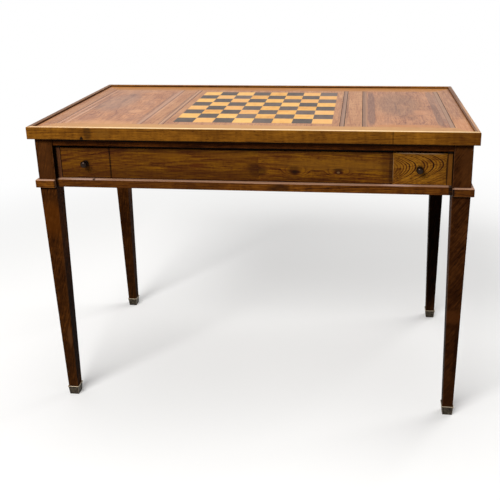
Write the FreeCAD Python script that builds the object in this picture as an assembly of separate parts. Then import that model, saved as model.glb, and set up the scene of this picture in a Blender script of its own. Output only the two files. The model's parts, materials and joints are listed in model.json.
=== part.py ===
import FreeCAD, Part
import os

# Games table with a lift-off top. Millimetres, +Z up, origin on the floor under the table's centre.
# X runs along the long side, and the drawers open towards -Y.

# Overall size, over the rim
table_width = 1046.0
table_depth = 562.0
table_height = 740.0

# Lift-off top
rim_width = 11.0
rim_height = 30.0
rim_lip = 5.0  # how far the rim stands above the playing surface
rim_edge_radius = 1.2
core_thickness = 15.0
core_tongue = 5.0  # into the groove of the rim
core_tongue_thickness = 7.0
veneer_thickness = 2.0
top_clearance = 1.0  # between the rim's inner face and the carcase

# Inlay, counted outwards from the middle of the board
square_size = 48.0
squares_a_side = 8
board_margin_side = 18.0
board_margin_front = 26.0
line_width = 1.6
band_width = 9.2
frieze_width = 40.6
border_side_width = 36.5

# Baize on the reverse
baize_thickness = 1.0
baize_recess = 1.2
baize_border = 82.0  # plain wood between the rim and the baize

# Legs
leg_size = 42.0
leg_foot_size = 26.0
collar_height = 20.0
collar_projection = 7.0
collar_edge_radius = 2.5

# Metal shoes
shoe_height = 25.0
shoe_ring_height = 3.0
shoe_ring_size = 30.0
shoe_cup_top_size = 28.0
shoe_foot_size = 24.5
shoe_floor = 2.0
shoe_socket_size = 21.0  # at the bottom of the socket

# Frieze: an upper rail, a recessed panel and a lower rail
upper_rail_height = 27.0
frieze_height = 83.0
lower_rail_height = 20.0
rail_setback = 4.0  # behind the outer faces of the legs
apron_setback = 15.0
apron_thickness = 20.0
rail_edge_radius = 2.0
quirk_height = 7.4  # shadow gap under the upper rail

# Joinery
tenon_thickness = 8.0
tenon_gap = 1.0  # between two tenons that meet in a leg
tenon_shoulder = 3.0
tenon_haunch = 8.0
mortise_extra = 0.5
tongue_height = 5.0
groove_extra = 0.5
housing_depth = 5.0
front_board_joint_x = 24.0  # where the two boards of the front panel meet

# Well
partition_thickness = 12.0
floor_thickness = 10.0
floor_lift = 4.0  # above the lower rails
divider_width = 12.0
divider_height = 64.0
points_a_row = 6
point_length = 190.0
point_gap = 4.7  # bare floor between two points of a row
point_thickness = 2.0
end_board_thickness = 12.0

# Drawers
stile_width = 12.0
drawer_width = 121.0
drawer_front_thickness = 16.0
drawer_side_gap = 1.0
drawer_top_gap = 7.4  # the shadow gap runs on over the drawers
drawer_front_lift = 0.8
drawer_run_gap = 0.3
drawer_side_thickness = 9.0
drawer_side_drop = 4.6  # sides end this far below the top of the front
drawer_back_thickness = 8.0
drawer_back_inset = 4.0
drawer_back_drop = 4.0
drawer_bottom_thickness = 5.0
drawer_bottom_lift = 6.0
drawer_groove = 4.0
drawer_dado = 3.0
drawer_rear_space = 88.0
tails = 3
tail_depth = 11.0
tail_narrow = 12.0
tail_wide = 16.0
runner_thickness = 16.0
runner_reach = 6.0
guide_height = 16.0
kicker_gap = 1.0
kicker_width = 12.0
stop_length = 14.0
stop_height = 14.0
stop_gap = 0.3

# Knobs
knob_plate_radius = 6.5
knob_plate_thickness = 1.5
knob_plate_slope = 1.0
knob_neck_radius = 3.5
knob_head_radius = 8.3
knob_length = 20.0
knob_head_length = 12.0
knob_crown_radius = 1.0
knob_head_outline = [(0.85, 0.12), (1.0, 0.4), (0.84, 0.76), (0.45, 0.96)]  # shares of radius and length
stud_radius = 2.0
stud_hole_gap = 0.1
stud_past_nut = 1.5
nut_across = 9.0
nut_thickness = 3.0

# Levels and faces worked out from the sizes above
half_width = table_width / 2
half_depth = table_depth / 2
surface_z = table_height - rim_lip
core_top_z = surface_z - veneer_thickness
carcase_top_z = core_top_z - core_thickness
rim_bottom_z = table_height - rim_height
inside_x = half_width - rim_width
inside_y = half_depth - rim_width
leg_face_x = inside_x - top_clearance
leg_face_y = inside_y - top_clearance
leg_inner_x = leg_face_x - leg_size
leg_inner_y = leg_face_y - leg_size
frieze_top_z = carcase_top_z - upper_rail_height
frieze_bottom_z = frieze_top_z - frieze_height
rail_bottom_z = frieze_bottom_z - lower_rail_height
wall_depth = apron_setback + apron_thickness
wall_inner_x = leg_face_x - wall_depth
wall_inner_y = leg_face_y - wall_depth
tenon_outer = apron_setback + (apron_thickness - tenon_thickness) / 2
tenon_inner = tenon_outer + tenon_thickness
tenon_length = leg_size - tenon_inner - tenon_gap
drawer_outer_x = leg_inner_x - stile_width - drawer_side_gap
drawer_inner_x = drawer_outer_x - drawer_width
partition_outer_x = drawer_inner_x - drawer_side_gap
partition_inner_x = partition_outer_x - partition_thickness
partition_top_z = carcase_top_z - end_board_thickness
floor_bottom_z = frieze_bottom_z + floor_lift
floor_top_z = floor_bottom_z + floor_thickness
drawer_face_y = apron_setback - leg_face_y
drawer_back_face_y = drawer_face_y + drawer_front_thickness
drawer_end_y = wall_inner_y - drawer_rear_space
drawer_front_bottom_z = frieze_bottom_z + drawer_front_lift
drawer_front_top_z = frieze_top_z - drawer_top_gap
drawer_side_bottom_z = frieze_bottom_z + drawer_run_gap
drawer_side_top_z = drawer_front_top_z - drawer_side_drop
drawer_bottom_z = drawer_side_bottom_z + drawer_bottom_lift
kicker_bottom_z = drawer_side_top_z + kicker_gap
board_half = square_size * squares_a_side / 2
field_half_y = board_half + board_margin_front

same_place = 1e-6  # two coordinates this close are one
nodes = {}


def save(name, *solids):
    """Keeps one node: a single solid, or a group of separate ones."""
    nodes[name] = solids[0] if len(solids) == 1 else Part.makeCompound(list(solids))


def box(x0, x1, y0, y1, z0, z1):
    """A block between two corners given in any order."""
    low = FreeCAD.Vector(min(x0, x1), min(y0, y1), min(z0, z1))
    return Part.makeBox(abs(x1 - x0), abs(y1 - y0), abs(z1 - z0), low)


def prism(outline, z0, z1):
    """An outline of (x, y) points, raised from z0 to z1."""
    corners = [FreeCAD.Vector(x, y, z0) for x, y in outline]
    face = Part.Face(Part.makePolygon(corners + corners[:1]))
    return face.extrude(FreeCAD.Vector(0, 0, z1 - z0))


def fused(first, *others):
    """Several touching blocks as one solid."""
    for other in others:
        first = first.fuse(other)
    return first.removeSplitter()


def without(shape, cutters):
    """The shape less each cutter that reaches it."""
    for cutter in cutters:
        if shape.BoundBox.intersect(cutter.BoundBox):
            shape = shape.cut(cutter)
    return shape


def rounded(shape, radius, wanted):
    """Rounds the edges whose two ends both pass the test."""
    edges = [e for e in shape.Edges if all(wanted(v.Point) for v in e.Vertexes)]
    return shape.makeFillet(radius, edges)


def near(a, b):
    return abs(a - b) < same_place


# Each of the four walls is drawn by how far along it lies, how deep behind the legs' faces, and its height
walls = {"front": ("y", -1), "back": ("y", 1), "left": ("x", -1), "right": ("x", 1)}


def wall_box(wall, along0, along1, deep0, deep1, z0, z1):
    """A block in a wall, deep0 to deep1 behind the outer faces of the legs."""
    axis, sign = walls[wall]
    if axis == "y":
        return box(along0, along1, sign * (leg_face_y - deep0), sign * (leg_face_y - deep1), z0, z1)
    return box(sign * (leg_face_x - deep0), sign * (leg_face_x - deep1), along0, along1, z0, z1)


def wall_half(wall):
    """Half the clear length of a wall between its two legs."""
    return leg_inner_x if walls[wall][0] == "y" else leg_inner_y


def tenon(wall, end, z0, z1, extra=0.0):
    """The tenon of a wall's member at one end, or its mortise when extra is given."""
    start = end * wall_half(wall)
    tip = end * (wall_half(wall) + tenon_length + extra)
    return wall_box(wall, start, tip, tenon_outer, tenon_inner, z0, z1)


upper_tenon = (frieze_top_z + tenon_haunch, carcase_top_z - tenon_haunch)
apron_tenon = (frieze_bottom_z + tenon_haunch, frieze_top_z - quirk_height - tenon_haunch)
lower_tenon = (rail_bottom_z + tenon_shoulder, frieze_bottom_z - tongue_height - tenon_shoulder)


def mortises():
    """Every mortise in the four legs."""
    found = []
    for wall in walls:
        levels = [upper_tenon, lower_tenon]
        if wall != "front":
            levels.append(apron_tenon)
        for z0, z1 in levels:
            found += [tenon(wall, end, z0, z1, mortise_extra) for end in (-1, 1)]
    return found


def square_loft(cx, cy, size0, z0, size1, z1):
    """A square shaft that tapers from one size to another."""
    rings = []
    for size, z in ((size0, z0), (size1, z1)):
        h = size / 2
        corners = [(cx - h, cy - h), (cx + h, cy - h), (cx + h, cy + h), (cx - h, cy + h)]
        points = [FreeCAD.Vector(x, y, z) for x, y in corners]
        rings.append(Part.makePolygon(points + points[:1]))
    return Part.makeLoft(rings, True, True)


def leg_centre(side_x, side_y):
    return side_x * (leg_face_x - leg_size / 2), side_y * (leg_face_y - leg_size / 2)


def leg_end(cx, cy):
    """The tapered end of a leg that sits in its metal shoe."""
    return square_loft(cx, cy, shoe_socket_size, shoe_floor, leg_foot_size, shoe_height)


def leg(side_x, side_y):
    cx, cy = leg_centre(side_x, side_y)
    h = leg_size / 2
    block = box(cx - h, cx + h, cy - h, cy + h, rail_bottom_z, carcase_top_z)
    shaft = square_loft(cx, cy, leg_foot_size, shoe_height, leg_size, rail_bottom_z)
    return without(fused(block, shaft, leg_end(cx, cy)), mortises())


def shoe(side_x, side_y):
    """A cast cup with a square ring at its mouth."""
    cx, cy = leg_centre(side_x, side_y)
    ring_z = shoe_height - shoe_ring_height
    h = shoe_ring_size / 2
    cup = square_loft(cx, cy, shoe_foot_size, 0, shoe_cup_top_size, ring_z)
    ring = box(cx - h, cx + h, cy - h, cy + h, ring_z, shoe_height)
    return fused(cup, ring).cut(leg_end(cx, cy))


def collar(side_x, side_y):
    """An L-shaped moulding on the two outer faces of a leg, rounded along its top, bottom and corner."""
    out_x, out_y = leg_face_x + collar_projection, leg_face_y + collar_projection
    corners = [(leg_inner_x, leg_face_y), (leg_face_x, leg_face_y), (leg_face_x, leg_inner_y)]
    corners += [(out_x, leg_inner_y), (out_x, out_y), (leg_inner_x, out_y)]
    outline = [(side_x * x, side_y * y) for x, y in corners]
    block = prism(outline, rail_bottom_z, rail_bottom_z + collar_height)

    def outside(p):
        return near(abs(p.x), out_x) or near(abs(p.y), out_y)

    def both_ends_out(e):
        return all(outside(v.Point) for v in e.Vertexes)

    edges = [e for e in block.Edges if both_ends_out(e) and not is_end_edge(e)]
    return block.makeFillet(collar_edge_radius, edges)


def is_end_edge(edge):
    """An upright edge where a collar stops at a leg's inner face."""
    a, b = (v.Point for v in edge.Vertexes)
    upright = near(a.x, b.x) and near(a.y, b.y)
    return upright and (near(abs(a.x), leg_inner_x) or near(abs(a.y), leg_inner_y))


def make_legs():
    corners = {"front_left": (-1, -1), "front_right": (1, -1), "back_left": (-1, 1), "back_right": (1, 1)}
    for corner, signs in corners.items():
        save(f"leg_{corner}", leg(*signs))
    save("leg_collars", *[collar(*signs) for signs in corners.values()])
    save("brass_sabots", *[shoe(*signs) for signs in corners.values()])


def partition_block(side):
    """One of the two walls between the well and a drawer, let into both long walls."""
    end_y = wall_inner_y + housing_depth
    faces = (side * partition_inner_x, side * partition_outer_x)
    return box(*faces, -end_y, end_y, rail_bottom_z, partition_top_z)


def floor_block():
    """The floor of the well, let into the partitions and the long walls."""
    end_x = partition_inner_x + housing_depth
    end_y = wall_inner_y + housing_depth
    return box(-end_x, end_x, -end_y, end_y, floor_bottom_z, floor_top_z)


def tongue(wall, along0, along1, upper, extra=0.0):
    """A panel's tongue into the upper or lower rail, or the groove for it when extra is given."""
    if upper:
        z0, z1 = frieze_top_z - quirk_height, frieze_top_z + tongue_height + extra
    else:
        z0, z1 = frieze_bottom_z - tongue_height - extra, frieze_bottom_z
    return wall_box(wall, along0, along1, tenon_outer, tenon_inner, z0, z1)


def apron_board(wall, along0, along1, tenon_ends):
    """A recessed panel with a tongue along its top and bottom, and a shadow gap under the upper rail."""
    panel_top_z = frieze_top_z - quirk_height
    board = wall_box(wall, along0, along1, apron_setback, wall_depth, frieze_bottom_z, panel_top_z)
    backing = wall_box(wall, along0, along1, tenon_outer, wall_depth, panel_top_z, frieze_top_z)
    parts = [backing] + [tongue(wall, along0, along1, upper) for upper in (True, False)]
    parts += [tenon(wall, end, *apron_tenon) for end in tenon_ends]
    return fused(board, *parts)


def panel_span(wall):
    """Where the fixed panel of a wall begins and ends: the front one stops at the drawers."""
    half = partition_outer_x if wall == "front" else wall_half(wall)
    return -half, half


def rail(wall, upper):
    """An upper or lower rail with its tenons, grooved for the panel and rounded along its outer edge."""
    half = wall_half(wall)
    z0, z1 = (frieze_top_z, carcase_top_z) if upper else (rail_bottom_z, frieze_bottom_z)
    bar = wall_box(wall, -half, half, rail_setback, wall_depth, z0, z1)
    edge_z = z0 if upper else z1
    axis, sign = walls[wall]
    face = sign * ((leg_face_y if axis == "y" else leg_face_x) - rail_setback)
    bar = rounded(bar, rail_edge_radius, lambda p: near(p.z, edge_z) and near(getattr(p, axis), face))
    levels = upper_tenon if upper else lower_tenon
    bar = fused(bar, *[tenon(wall, end, *levels) for end in (-1, 1)])
    cutters = [tongue(wall, *panel_span(wall), upper, groove_extra)]
    if axis == "y":
        cutters += [partition_block(side) for side in (-1, 1)]
    return without(bar, cutters)


def make_walls():
    housed = [partition_block(side) for side in (-1, 1)] + [floor_block()]
    for wall in walls:
        save(f"upper_rail_{wall}", rail(wall, True))
        save(f"lower_rail_{wall}", rail(wall, False))
    start, end = panel_span("front")
    save("apron_front_left_board", without(apron_board("front", start, front_board_joint_x, ()), housed))
    save("apron_front_right_board", without(apron_board("front", front_board_joint_x, end, ()), housed))
    for wall in ("back", "left", "right"):
        board = apron_board(wall, *panel_span(wall), (-1, 1))
        save(f"apron_{wall}", without(board, housed))
    outer, inner = leg_inner_x, leg_inner_x - stile_width
    stile_body = (apron_setback, wall_depth, frieze_bottom_z, frieze_top_z)
    save("drawer_stiles", *[wall_box("front", side * outer, side * inner, *stile_body) for side in (-1, 1)])


def point_outlines():
    """The well's points as (outline, dark or not): one row along each long wall in each half."""
    pitch = (partition_inner_x - divider_width / 2) / points_a_row
    half_base = (pitch - point_gap) / 2
    for half in (-1, 1):
        for side in (-1, 1):
            for place in range(points_a_row):
                middle = half * (divider_width / 2 + pitch * (place + 0.5))
                base_y = side * wall_inner_y
                tip_y = side * (wall_inner_y - point_length)
                outline = [(middle - half_base, base_y), (middle + half_base, base_y), (middle, tip_y)]
                dark = (place + (half > 0) + (side > 0)) % 2 == 1
                yield outline, dark


def make_well():
    points = {True: [], False: []}
    for outline, dark in point_outlines():
        points[dark].append(prism(outline, floor_top_z - point_thickness, floor_top_z))
    floor = without(floor_block(), points[True] + points[False])
    save("well_floor", floor)
    save("well_points_dark", *points[True])
    save("well_points_light", *points[False])
    half = divider_width / 2
    bar = box(-half, half, -wall_inner_y, wall_inner_y, floor_top_z, floor_top_z + divider_height)
    save("well_divider_bar", bar)
    save("well_partitions", *[partition_block(side).cut(floor_block()) for side in (-1, 1)])
    boards = []
    for side in (-1, 1):
        board = box(side * partition_inner_x, side * wall_inner_x, -wall_inner_y, wall_inner_y,
                    partition_top_z, carcase_top_z)
        notches = [box(side * leg_inner_x, side * leg_face_x, end * leg_inner_y, end * leg_face_y,
                       partition_top_z, carcase_top_z) for end in (-1, 1)]
        boards.append(without(board, notches))
    save("end_boards", *boards)


def running_bars(side):
    """The runners, kickers and stops of one drawer, each as (inner, outer)."""
    top_z = frieze_bottom_z
    low_z = top_z - runner_thickness
    guide_x = leg_inner_x - stile_width
    inner_reach = drawer_inner_x + drawer_side_thickness + runner_reach
    outer_reach = drawer_outer_x - drawer_side_thickness - runner_reach
    inner_runner = box(side * partition_outer_x, side * inner_reach,
                       -wall_inner_y, wall_inner_y, low_z, top_z)
    outer_runner = fused(
        box(side * outer_reach, side * leg_inner_x, -wall_inner_y, wall_inner_y, low_z, top_z),
        box(side * guide_x, side * leg_inner_x, -wall_inner_y, wall_inner_y, top_z, top_z + guide_height),
        box(side * outer_reach, side * wall_inner_x, -leg_inner_y, leg_inner_y, low_z, top_z),
        box(side * guide_x, side * wall_inner_x, -leg_inner_y, leg_inner_y, top_z, top_z + guide_height))
    kick_inner = box(side * partition_outer_x, side * (partition_outer_x + kicker_width),
                     -wall_inner_y, wall_inner_y, kicker_bottom_z, partition_top_z)
    kick_outer = box(side * (guide_x - kicker_width), side * wall_inner_x,
                     -leg_inner_y, leg_inner_y, kicker_bottom_z, partition_top_z)
    stop_y = drawer_end_y + stop_gap
    stops = []
    for wall_x, far_x in ((partition_outer_x, drawer_inner_x + drawer_side_thickness),
                          (guide_x, drawer_outer_x - drawer_side_thickness)):
        stops.append(box(side * wall_x, side * far_x,
                         stop_y, stop_y + stop_length, top_z, top_z + stop_height))
    return [inner_runner, outer_runner], [kick_inner, kick_outer], stops


def make_running_gear():
    runners, kickers, stops = [], [], []
    for side in (-1, 1):
        a, b, c = running_bars(side)
        runners += a
        kickers += b
        stops += c
    save("drawer_runners", *runners)
    save("drawer_kickers", *kickers)
    save("drawer_stops", *stops)


def dovetail(x0, x1, z):
    """One tail of a drawer side, wider at its tip, let into the back of the front."""
    base_y, tip_y = drawer_back_face_y, drawer_back_face_y - tail_depth
    corners = [(base_y, z - tail_narrow / 2), (base_y, z + tail_narrow / 2)]
    corners += [(tip_y, z + tail_wide / 2), (tip_y, z - tail_wide / 2)]
    points = [FreeCAD.Vector(min(x0, x1), y, h) for y, h in corners]
    face = Part.Face(Part.makePolygon(points + points[:1]))
    return face.extrude(FreeCAD.Vector(abs(x1 - x0), 0, 0))


def tail_heights():
    pitch = (drawer_side_top_z - drawer_side_bottom_z) / tails
    return [drawer_side_bottom_z + pitch * (k + 0.5) for k in range(tails)]


def knob(x, z):
    """A turned knob on a small plate, with a stud through the drawer front."""
    head_start = knob_length - knob_head_length
    stud_length = drawer_front_thickness + nut_thickness + stud_past_nut
    neck_start = knob_plate_thickness + knob_plate_slope
    profile = [(0, -stud_length), (stud_radius, -stud_length), (stud_radius, 0), (knob_plate_radius, 0)]
    profile += [(knob_plate_radius, knob_plate_thickness), (knob_neck_radius, neck_start)]
    profile += [(knob_neck_radius, head_start)]
    points = [FreeCAD.Vector(r, 0, h) for r, h in profile]
    round_points = [FreeCAD.Vector(knob_head_radius * wide, 0, head_start + knob_head_length * far)
                    for wide, far in knob_head_outline]
    round_points.append(FreeCAD.Vector(knob_crown_radius, 0, knob_length))
    head_curve = Part.BSplineCurve()
    head_curve.interpolate([points[-1]] + round_points)
    crown = FreeCAD.Vector(0, 0, knob_length)
    edges = [Part.LineSegment(a, b).toShape() for a, b in zip(points, points[1:])]
    edges.append(head_curve.toShape())
    edges.append(Part.LineSegment(round_points[-1], crown).toShape())
    edges.append(Part.LineSegment(crown, points[0]).toShape())
    turned = Part.Face(Part.Wire(edges)).revolve(FreeCAD.Vector(0, 0, 0), FreeCAD.Vector(0, 0, 1), 360)
    turned.rotate(FreeCAD.Vector(0, 0, 0), FreeCAD.Vector(1, 0, 0), 90)
    turned.translate(FreeCAD.Vector(x, drawer_face_y, z))
    return turned


def stud_bore(x, z, start_y, length):
    start, along = FreeCAD.Vector(x, start_y, z), FreeCAD.Vector(0, 1, 0)
    return Part.makeCylinder(stud_radius + stud_hole_gap, length, start, along)


def nut(x, z):
    """A square nut behind the drawer front."""
    h = nut_across / 2
    y0, y1 = drawer_back_face_y, drawer_back_face_y + nut_thickness
    return box(x - h, x + h, y0, y1, z - h, z + h).cut(stud_bore(x, z, y0, nut_thickness))


def make_drawer(side, name):
    inner, outer = side * drawer_inner_x, side * drawer_outer_x
    inner_wall, outer_wall = inner + side * drawer_side_thickness, outer - side * drawer_side_thickness
    bottom = box(inner_wall - side * drawer_groove, outer_wall + side * drawer_groove,
                 drawer_back_face_y - drawer_groove, drawer_end_y - drawer_back_inset,
                 drawer_bottom_z, drawer_bottom_z + drawer_bottom_thickness)
    back = box(inner_wall - side * drawer_dado, outer_wall + side * drawer_dado,
               drawer_end_y - drawer_back_inset - drawer_back_thickness, drawer_end_y - drawer_back_inset,
               drawer_bottom_z + drawer_bottom_thickness, drawer_side_top_z - drawer_back_drop)
    front = box(inner, outer, drawer_face_y, drawer_back_face_y, drawer_front_bottom_z, drawer_front_top_z)
    tail_sets = []
    for place, x0, x1 in (("inner", inner, inner_wall), ("outer", outer, outer_wall)):
        tail_set = [dovetail(x0, x1, z) for z in tail_heights()]
        tail_sets += tail_set
        board = box(x0, x1, drawer_back_face_y, drawer_end_y, drawer_side_bottom_z, drawer_side_top_z)
        save(f"{name}_{place}_side", without(fused(board, *tail_set), [bottom, back]))
    knob_x = (inner + outer) / 2
    knob_z = (drawer_front_bottom_z + drawer_front_top_z) / 2
    bore = stud_bore(knob_x, knob_z, drawer_face_y, drawer_front_thickness)
    save(f"{name}_front", without(front, tail_sets + [bottom, bore]))
    save(f"{name}_bottom", bottom)
    save(f"{name}_back", back)
    save(f"{name}_knob", knob(knob_x, knob_z))
    save(f"{name}_knob_nut", nut(knob_x, knob_z))


def core_panel():
    """The board under the inlay, with a tongue all round and a shallow recess for the baize."""
    middle_z = (core_top_z + carcase_top_z) / 2
    z0, z1 = middle_z - core_tongue_thickness / 2, middle_z + core_tongue_thickness / 2
    panel = box(-inside_x, inside_x, -inside_y, inside_y, carcase_top_z, core_top_z)
    end_x, end_y = inside_x + core_tongue, inside_y + core_tongue
    tongue_board = box(-end_x, end_x, -end_y, end_y, z0, z1)
    x, y = inside_x - baize_border, inside_y - baize_border
    recess = box(-x, x, -y, y, carcase_top_z, carcase_top_z + baize_recess)
    baize = box(-x, x, -y, y, carcase_top_z + baize_recess - baize_thickness, carcase_top_z + baize_recess)
    return fused(panel, tongue_board).cut(recess), baize


def rim_piece(wall, core):
    """One mitred side of the rim, grooved for the core's tongue."""
    axis, sign = walls[wall]
    if axis == "x":
        far, close = (sign * half_width, half_depth), (sign * inside_x, inside_y)
        outline = [(far[0], -far[1]), far, close, (close[0], -close[1])]
    else:
        far, close = (half_width, sign * half_depth), (inside_x, sign * inside_y)
        outline = [(-far[0], far[1]), far, close, (-close[0], close[1])]
    piece = prism(outline, rim_bottom_z, table_height)

    def is_top_arris(edge):
        a, b = (v.Point for v in edge.Vertexes)
        level = near(a.z, table_height) and near(b.z, table_height)
        return level and near(getattr(a, axis), getattr(b, axis))

    return piece.makeFillet(rim_edge_radius, [e for e in piece.Edges if is_top_arris(e)]).cut(core)


def veneer(outline):
    return prism(outline, core_top_z, surface_z)


def veneer_strip(x0, x1, half_y):
    return box(x0, x1, -half_y, half_y, core_top_z, surface_z)


def make_squares():
    light, dark = [], []
    for i in range(squares_a_side):
        for j in range(squares_a_side):
            x0, y0 = i * square_size - board_half, j * square_size - board_half
            square = box(x0, x0 + square_size, y0, y0 + square_size, core_top_z, surface_z)
            (light if (i + j) % 2 else dark).append(square)
    save("chess_squares_light", *light)
    save("chess_squares_dark", *dark)


def make_inlay():
    """The strips beside the board, in order outwards, then the border that meets the rim."""
    border_x = inside_x - border_side_width
    banding = [("line", line_width), ("band", band_width), ("line", line_width)]
    inner_steps = [("margin", board_margin_side)] + banding + [("frieze", frieze_width)] + banding
    used = board_half + sum(width for _, width in inner_steps + banding)
    outer_steps = [("field", border_x - used)] + banding
    strips = {"margin": [], "line": [], "band": [], "frieze": [], "field": []}
    for side in (-1, 1):
        x = board_half
        for kind, width in inner_steps + outer_steps:
            low, high = sorted((side * x, side * (x + width)))
            strips[kind].append(veneer_strip(low, high, field_half_y))
            x += width
    for side in (-1, 1):
        strips["margin"].append(box(-board_half, board_half, side * board_half, side * field_half_y,
                                    core_top_z, surface_z))
    save("board_margin_strips", *strips["margin"])
    save("stringing_lines", *strips["line"])
    save("banding_strips", *strips["band"])
    save("frieze_strips", *strips["frieze"])
    save("field_panel_left", strips["field"][0])
    save("field_panel_right", strips["field"][1])
    outer, inner = (inside_x, inside_y), (border_x, field_half_y)
    long_side = [(-outer[0], outer[1]), outer, inner, (-inner[0], inner[1])]
    short_side = [(outer[0], -outer[1]), outer, inner, (inner[0], -inner[1])]
    save("border_long_strips", *[veneer([(x, sign * y) for x, y in long_side]) for sign in (-1, 1)])
    save("border_short_strips", *[veneer([(sign * x, y) for x, y in short_side]) for sign in (-1, 1)])


def make_top():
    core, baize = core_panel()
    save("top_core_panel", core)
    save("reverse_baize", baize)
    for wall in walls:
        save(f"rim_{wall}", rim_piece(wall, core))
    make_squares()
    make_inlay()


make_legs()
make_walls()
make_well()
make_running_gear()
make_drawer(-1, "drawer_left")
make_drawer(1, "drawer_right")
make_top()

os.makedirs("parts", exist_ok=True)
for node, shape in nodes.items():
    shape.exportStep(f"parts/{node}.step")
print(len(nodes), "nodes,", sum(len(shape.Solids) for shape in nodes.values()), "solids")
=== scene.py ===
import json
import math
from functools import partial

import bmesh
import bpy
import numpy as np
from mathutils import Euler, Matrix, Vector


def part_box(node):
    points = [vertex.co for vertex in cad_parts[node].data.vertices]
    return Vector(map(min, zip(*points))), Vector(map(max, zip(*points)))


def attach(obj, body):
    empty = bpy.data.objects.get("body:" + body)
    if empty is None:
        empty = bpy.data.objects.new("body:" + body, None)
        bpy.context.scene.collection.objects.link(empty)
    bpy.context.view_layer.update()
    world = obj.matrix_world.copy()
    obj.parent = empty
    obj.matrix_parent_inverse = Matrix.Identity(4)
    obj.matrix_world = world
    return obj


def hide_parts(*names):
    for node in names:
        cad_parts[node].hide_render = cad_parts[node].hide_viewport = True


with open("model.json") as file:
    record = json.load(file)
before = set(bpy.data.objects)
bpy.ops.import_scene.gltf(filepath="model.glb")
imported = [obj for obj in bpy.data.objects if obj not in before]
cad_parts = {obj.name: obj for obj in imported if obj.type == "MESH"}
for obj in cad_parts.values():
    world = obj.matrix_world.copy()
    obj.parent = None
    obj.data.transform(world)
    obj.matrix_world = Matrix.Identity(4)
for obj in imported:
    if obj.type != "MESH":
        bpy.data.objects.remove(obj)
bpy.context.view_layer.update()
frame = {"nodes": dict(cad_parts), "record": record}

mm = 0.001
scene = bpy.context.scene
nodes = frame["nodes"]


# sRGB hex text to linear: value / 12.92 when it is small, else ((value + 0.055) / 1.055) to the power 2.4
def hexColour(text):
    value = np.array([int(text[i:i + 2], 16) for i in (0, 2, 4)]) / 255
    linear = np.where(value <= 0.04045, value / 12.92, ((value + 0.055) / 1.055) ** 2.4)
    return (*linear.tolist(), 1.0)


# lowest and highest corner of a node, in millimetres
def boxOf(node):
    low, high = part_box(node)
    return np.array(low) / mm, np.array(high) / mm


# Camera: a 50 mm lens, with its axis right of and above the frame's middle
camera = {
    "at": (261.9, -1791.9, 1115.8),  # mm
    "yaw": 0.1151,                   # radians, to the left
    "pitch": 0.2952,                 # radians, downwards
    "roll": -0.0152,
    "lens": 50.0,
    "sensor": 36.0,
    "frame": 500,                    # pixels each way
    "axisPixel": (284, 167),         # where the lens axis meets the picture
}


# Level first, then down by the pitch, round by the yaw and about its own axis by the roll. The shift moves
# the lens axis from the frame's middle to its pixel.
def placeCamera(settings):
    data = bpy.data.cameras.new("camera")
    data.lens = settings["lens"]
    data.sensor_width = settings["sensor"]
    middle = settings["frame"] / 2
    data.shift_x = (middle - settings["axisPixel"][0]) / settings["frame"]
    data.shift_y = (settings["axisPixel"][1] - middle) / settings["frame"]
    camObject = bpy.data.objects.new("camera", data)
    scene.collection.objects.link(camObject)
    turn = Euler((math.pi / 2 - settings["pitch"], 0, settings["yaw"])).to_matrix()
    roll = Euler((0, 0, settings["roll"])).to_matrix()
    camObject.matrix_world = (turn @ roll).to_4x4()
    camObject.location = Vector(settings["at"]) * mm
    scene.camera = camObject


placeCamera(camera)
print("camera placed")


# Adds one shader node with its settings, and sets or links its inputs. Text is a hex colour, and a node
# gives the first output that it has in use.
def addNode(tree, kind, inputs=(), **settings):
    node = tree.nodes.new("ShaderNode" + kind)
    for name, value in settings.items():
        setattr(node, name, value)
    for socket, value in dict(inputs).items():
        if isinstance(value, str):
            value = hexColour(value)
        if isinstance(value, bpy.types.Node):
            value = next(output for output in value.outputs if output.enabled)
        if isinstance(value, bpy.types.NodeSocket):
            tree.links.new(value, node.inputs[socket])
        else:
            node.inputs[socket].default_value = value
    return node


# Empties the node tree of a material or world, and gives the function that adds nodes to it
def emptyTree(owner):
    owner.use_nodes = True
    owner.node_tree.nodes.clear()
    return partial(addNode, owner.node_tree)


# Light: a big soft lamp above in front, weaker ones above and behind, and a dim world that looks white
lights = {
    "keyLamp": {"at": (-1150, -2700, 3000), "aim": (0, 0, 600), "size": (2.2, 1.1), "watts": 120},
    "topLamp": {"at": (-200, 350, 3300), "aim": (0, 0, 700), "size": (2.4, 1.8), "watts": 28},
    "sideLamp": {"at": (2600, 1700, 2400), "aim": (0, 0, 500), "size": (2.0, 1.6), "watts": 40},
}
world = {"background": "FFFFFF", "ambient": "F4F6FA", "ambientStrength": 0.26}
floorLook = {"halfSize": 30.0, "seen": "F6F5F3", "bounced": "8E8A84", "lift": 0.12, "fade": (1.0, 2.2)}


# A rectangular lamp whose face looks from its place to its aim, both in millimetres
def makeLamp(name, at, aim, size, watts):
    data = bpy.data.lights.new(name, "AREA")
    data.shape = "RECTANGLE"
    data.size, data.size_y = size
    data.energy = watts
    lamp = bpy.data.objects.new(name, data)
    lamp.location = Vector(at) * mm
    lamp.rotation_euler = (Vector(aim) - Vector(at)).to_track_quat("-Z", "Y").to_euler()
    scene.collection.objects.link(lamp)


# White where the camera, a reflection or a look through glass meets the background, and dim light elsewhere
def makeWorld(settings):
    background = bpy.data.worlds.new("studio")
    scene.world = background
    add = emptyTree(background)
    path = add("LightPath").outputs
    seen = add("Math", {0: path["Is Camera Ray"], 1: path["Is Glossy Ray"]}, operation="MAXIMUM")
    seen = add("Math", {0: seen, 1: path["Is Transmission Ray"]}, operation="MAXIMUM")
    dim = add("Background", {"Color": settings["ambient"], "Strength": settings["ambientStrength"]})
    white = add("Background", {"Color": settings["background"], "Strength": 1.0})
    add("OutputWorld", {"Surface": add("MixShader", {0: seen, 1: dim, 2: white})})


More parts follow.
